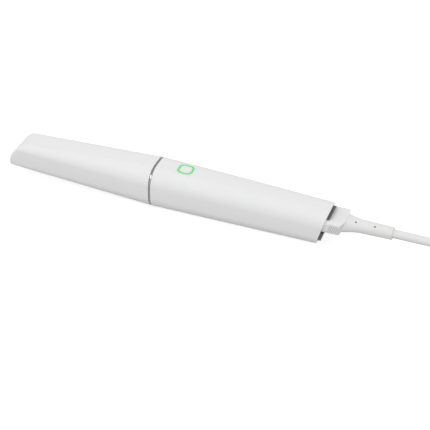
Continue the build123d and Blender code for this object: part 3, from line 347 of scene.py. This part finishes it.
def moulded(name, colour, shade, rough, shine=0.5):
    """Moulded plastic: faint cloudiness in colour and gloss, and a fine eroded grain."""
    finish = Finish(name)
    cloud = finish.noise(scale=38.0, detail=4.0)
    fleck = finish.noise(scale=2600.0, detail=2.0, rough=0.6)
    finish.set(Base_Color=finish.blend(cloud * 0.7 + fleck * 0.3, shade, colour),
               Roughness=rough - 0.05 + cloud * 0.07 + fleck * 0.04, Specular_IOR_Level=shine, IOR=1.5)
    finish.bump(fleck, strength=0.25, distance=0.00002)
    return finish


def rubbery(name, colour, shade, rough):
    """Soft moulded rubber: dull, with a close leathery grain."""
    finish = Finish(name)
    cells = finish.cells(scale=1800.0)
    cloud = finish.noise(scale=60.0)
    finish.set(Base_Color=finish.blend(cloud, shade, colour), Roughness=rough + cells * 0.12,
               Specular_IOR_Level=0.2, IOR=1.48)
    finish.bump(cells, strength=0.3, distance=0.00003)
    return finish


def worked_metal(name, colour, shade, rough, stretch=(3.0, 1.0, 1.0)):
    """Bare metal with fine drawn lines and a little tarnish."""
    finish = Finish(name)
    line = finish.noise(scale=900.0, detail=2.0, stretch=stretch)
    cloud = finish.noise(scale=120.0)
    finish.set(Base_Color=finish.blend(cloud * 0.6 + line * 0.4, shade, colour), Metallic=1.0,
               Roughness=rough - 0.06 + line * 0.12)
    finish.bump(line, strength=0.12, distance=0.00002)
    return finish


def coated_glass(name, tint, edge):
    """Coated glass with a faint cast and a trace of dust."""
    finish = Finish(name)
    dust = finish.noise(scale=700.0, detail=5.0)
    finish.set(Base_Color=finish.blend(dust * 0.4, tint, edge), Roughness=dust * 0.05, IOR=1.5,
               Transmission_Weight=1.0, Coat_Weight=0.6, Coat_Roughness=0.03)
    return finish


def circuit_board(name, mask, bare):
    """Printed board: solder mask with raised tracks and a scatter of tinned pads."""
    finish = Finish(name)
    brick = finish.add("ShaderNodeTexBrick", Vector=finish.place, Scale=420.0, Color1=(1, 1, 1),
                       Color2=(0.3, 0.3, 0.3), Mortar=(0, 0, 0), Mortar_Size=0.03)
    track = finish.out(brick, "Fac")
    pad = finish.step(finish.cells(scale=520.0, scatter=0.8), low=0.16, high=0.2, begin=1.0, end=0.0)
    dark = [part * 0.55 for part in mask]
    finish.set(Base_Color=finish.blend(pad, finish.blend(track, mask, dark), bare),
               Roughness=0.32 + pad * 0.1, Metallic=pad * 0.8, Coat_Weight=0.2)
    finish.bump(track * 0.6 + pad * 0.4, strength=0.3, distance=0.00004)
    return finish


def glowing(name, colour, shade, light, dim, strength):
    """Dyed plastic that is lit from inside, a little unevenly."""
    finish = Finish(name)
    cloud = finish.noise(scale=500.0)
    finish.set(Base_Color=finish.blend(cloud, shade, colour), Roughness=0.45 + cloud * 0.1,
               Emission_Color=finish.blend(cloud, dim, light), Emission_Strength=strength)
    return finish


# Places where light or shade is painted into the colour, in millimetres: a painted green glow round the light
# ring and painted shade in the dimples and the grip grooves; a dimple's limits are squares of radii
BUTTON_X = 13.1
RING_REACH = 5.0
RING_EDGE = 0.3
RING_HALO = 2.2
HANDLE_TOP = (24.0, 27.0)
DIMPLE_MIDDLE = 145.777
DIMPLE_SPREAD = 6.7
DIMPLE_LEAN = radians(32)
DIMPLE_SQUARES = (0.3, 0.4)
GROOVE_FLOOR = (11.03, 11.07)
GROOVE_MOUTH = (11.25, 11.35)
GROOVE_HEIGHT = (2.4, 3.0)


def painted_ring_glow(finish):
    """Painted light: tints the plastic round the light ring with a painted green glow from the ring."""
    x, y, z = finish.axes("XYZ")
    along = x - BUTTON_X
    off_ring = finish.magnitude((along ** 4.0 + y ** 4.0) ** 0.25 - RING_REACH)
    near = finish.step(off_ring, RING_EDGE, RING_HALO, begin=0.8, end=0.0) * finish.step(z, *HANDLE_TOP)
    # painted green glow from the light ring on the plastic round it
    finish.tint(near, (0.52, 0.82, 0.56))
    return finish


def painted_dimple_shade(finish):
    """Painted shade: darkens the small holes of the strain relief."""
    x, y, z = finish.axes("XYZ")
    along = finish.magnitude(x - DIMPLE_MIDDLE) - DIMPLE_SPREAD
    round_boot = finish.magnitude(y) * cos(DIMPLE_LEAN) - finish.magnitude(z - PLUG_Z) * sin(DIMPLE_LEAN)
    hole = finish.step(along * along + round_boot * round_boot, *DIMPLE_SQUARES, begin=1.0, end=0.0)
    # painted shade in the strain relief's holes
    finish.tint(hole, (0.03, 0.03, 0.03))
    return finish


def painted_groove_shade(finish):
    """Painted shade: greys the floors of the grip grooves in the plug's sides."""
    y, z = finish.axes("YZ")
    side = finish.magnitude(y)
    deep = finish.step(side, *GROOVE_FLOOR) * finish.step(side, *GROOVE_MOUTH, begin=1.0, end=0.0)
    middle = finish.step(finish.magnitude(z - PLUG_Z), *GROOVE_HEIGHT, begin=1.0, end=0.0)
    # painted shade on the floors of the grip grooves
    finish.tint(deep * middle, (0.63, 0.63, 0.63))
    return finish


# Colour and shade of the white plastic and of the white rubber
WHITE = (0.83, 0.83, 0.83), (0.80, 0.80, 0.805)
SOFT_WHITE = (0.79, 0.79, 0.785), (0.755, 0.755, 0.75)

finishes = {finish.name: finish for finish in (
    moulded("tip_white", *WHITE, 0.6, 0.12),
    painted_ring_glow(moulded("shell_white", *WHITE, 0.6, 0.12)),
    painted_ring_glow(moulded("button_white", *WHITE, 0.55, 0.15)),
    painted_groove_shade(moulded("plug_white", (0.82, 0.82, 0.82), (0.79, 0.79, 0.79), 0.6, 0.12)),
    painted_dimple_shade(rubbery("boot_white", *SOFT_WHITE, 0.55)),
    rubbery("cord_white", *SOFT_WHITE, 0.55),
    moulded("stem_white", (0.78, 0.78, 0.76), (0.72, 0.72, 0.7), 0.5),
    moulded("switch_black", (0.03, 0.03, 0.032), (0.02, 0.02, 0.02), 0.45),
    moulded("snout_black", (0.04, 0.04, 0.043), (0.025, 0.025, 0.027), 0.42),
    worked_metal("block_black", (0.05, 0.05, 0.055), (0.03, 0.03, 0.03), 0.45),
    worked_metal("barrel_black", (0.07, 0.07, 0.075), (0.04, 0.04, 0.045), 0.35, stretch=(1.0, 4.0, 4.0)),
    moulded("cap_grey", (0.13, 0.13, 0.132), (0.1, 0.1, 0.102), 0.5),
    rubbery("seal_rubber", (0.05, 0.05, 0.05), (0.035, 0.035, 0.035), 0.6),
    rubbery("tie_grey", (0.3, 0.3, 0.31), (0.22, 0.22, 0.23), 0.7),
    worked_metal("ring_chrome", (0.25, 0.25, 0.255), (0.2, 0.2, 0.205), 0.14, stretch=(8.0, 0.6, 0.6)),
    worked_metal("screw_steel", (0.55, 0.55, 0.56), (0.42, 0.42, 0.43), 0.32),
    worked_metal("frame_metal", (0.6, 0.61, 0.62), (0.48, 0.48, 0.5), 0.38, stretch=(0.5, 6.0, 1.0)),
    worked_metal("strap_copper", (0.75, 0.42, 0.27), (0.5, 0.25, 0.15), 0.3),
    worked_metal("usb_steel", (0.66, 0.66, 0.67), (0.55, 0.55, 0.56), 0.22),
    worked_metal("mirror_glass", (0.9, 0.9, 0.91), (0.86, 0.86, 0.88), 0.08),
    coated_glass("clear_glass", (0.93, 0.95, 0.98), (0.8, 0.84, 0.9)),
    circuit_board("board_green", (0.02, 0.16, 0.07), (0.7, 0.66, 0.55)),
    moulded("tongue_blue", (0.03, 0.12, 0.45), (0.02, 0.09, 0.36), 0.4),
    glowing("light_green", (0.1, 0.44, 0.13), (0.07, 0.38, 0.1), light=(0.1, 0.52, 0.13),
            dim=(0.07, 0.46, 0.1), strength=0.55),
)}

for part in frame["record"]["subparts"]:
    for slot in nodes[part["node"]].material_slots:
        slot.material = finishes[part["material_slot"]].material
lead_curve.materials.append(finishes["cord_white"].material)

# Contacts on the computer plug's tongue and on the plug's metal insert, half sunk in their faces
EDGE_SHARE = 0.6
TONGUE_X = 225.5
TONGUE_TOP = 4.3
INSERT_X = 111.0
INSERT_TOP = 19.6


def contact_strips(name, middle, size, pitch, count):
    """Row of pressed contacts lying on a face of the lead's plugs, each with softened upper edges."""
    x, y, z = middle
    shape = bmesh.new()
    for number in range(count):
        place = Matrix.Translation(mm(x, y + (number - (count - 1) / 2) * pitch, z))
        bmesh.ops.create_cube(shape, size=1.0, matrix=place @ Matrix.Diagonal((*mm(*size), 1.0)))
    upper = [edge for edge in shape.edges if all(corner.co.z > z * MM for corner in edge.verts)]
    bmesh.ops.bevel(shape, geom=upper, offset=EDGE_SHARE * size[2] * MM, segments=2, profile=0.5,
                    affect="EDGES", material=-1)
    strips = mesh_object(name, shape, finishes["strap_copper"])
    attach(strips, "lead")


contact_strips("tongue_contacts", (TONGUE_X, COIL_Y, TONGUE_TOP), size=(7.4, 1.0, 0.3), pitch=2.4, count=4)
contact_strips("insert_contacts", (INSERT_X, 0, INSERT_TOP), size=(5.6, 0.55, 0.2), pitch=1.0, count=8)

# Studio: a white floor with a trace of shadow, soft lamps and an even surround
FLOOR_SIZE = 8.0
FLOOR_DROP = 0.0002
FLOOR_GREY = (0.46, 0.46, 0.46)
FLOOR_GLOW = 0.78
SKY_LIGHT = 0.89
MIDDLE = Vector((0.03, 0.0, 0.02))
WHITE_LIGHT = (1, 1, 1)


def seen_directly(tree):
    """1 for rays from the camera, a reflection or a glass, 0 for rays that only light the object."""
    rays = tree.add("ShaderNodeLightPath")
    total = tree.out(rays, "Is Camera Ray") + tree.out(rays, "Is Glossy Ray")
    return tree.maths("MINIMUM", total + tree.out(rays, "Is Transmission Ray"), 1.0)


paper = Finish("floor_paper")
paper.set(Base_Color=FLOOR_GREY, Roughness=0.9, Specular_IOR_Level=0.1)
dull = paper.shader.outputs["BSDF"]
glow = paper.add("ShaderNodeEmission", Color=WHITE_LIGHT, Strength=FLOOR_GLOW)
shown = paper.add("ShaderNodeAddShader", _0=dull, _1=glow.outputs["Emission"])
floor_surface = paper.add("ShaderNodeMixShader", _0=seen_directly(paper), _1=dull, _2=shown.outputs["Shader"])
paper.feed(paper.output.inputs["Surface"], floor_surface.outputs["Shader"])
floor_shape = bmesh.new()
bmesh.ops.create_grid(floor_shape, x_segments=1, y_segments=1, size=FLOOR_SIZE / 2)
floor = mesh_object("floor", floor_shape, paper)
floor.location = (0, 0, -FLOOR_DROP)


def softbox(name, place, width, height, power, only_glints=False):
    """Area lamp that faces the wand, or one that shows only in what is glossy."""
    data = bpy.data.lights.new(name, "AREA")
    data.shape = "RECTANGLE"
    data.size = width
    data.size_y = height
    data.energy = power
    lamp = new_object(name, data)
    lamp.location = place
    lamp.rotation_euler = (MIDDLE - Vector(place)).to_track_quat("-Z", "Y").to_euler()
    lamp.visible_diffuse = not only_glints


softbox("top_lamp", (-0.2, 0.1, 1.3), width=1.2, height=0.8, power=0.8)
softbox("front_lamp", (-0.42, -0.94, 1.18), width=0.9, height=0.6, power=1.3)
softbox("side_lamp", (0.0, -1.4, 0.5), width=0.9, height=0.9, power=2.7)
softbox("glint_lamp", (-0.35, -1.0, 1.15), width=1.4, height=0.5, power=16.0, only_glints=True)

world = bpy.data.worlds.new("surround")
scene.world = world
world.use_nodes = True
sky = NodeTree(world.node_tree)
even = sky.add("ShaderNodeBackground", Color=WHITE_LIGHT, Strength=SKY_LIGHT)
white = sky.add("ShaderNodeBackground", Color=WHITE_LIGHT, Strength=1.0)
sky_surface = sky.add("ShaderNodeMixShader", _0=seen_directly(sky), _1=even.outputs["Background"],
                      _2=white.outputs["Background"])
sky.add("ShaderNodeOutputWorld", Surface=sky_surface.outputs["Shader"])
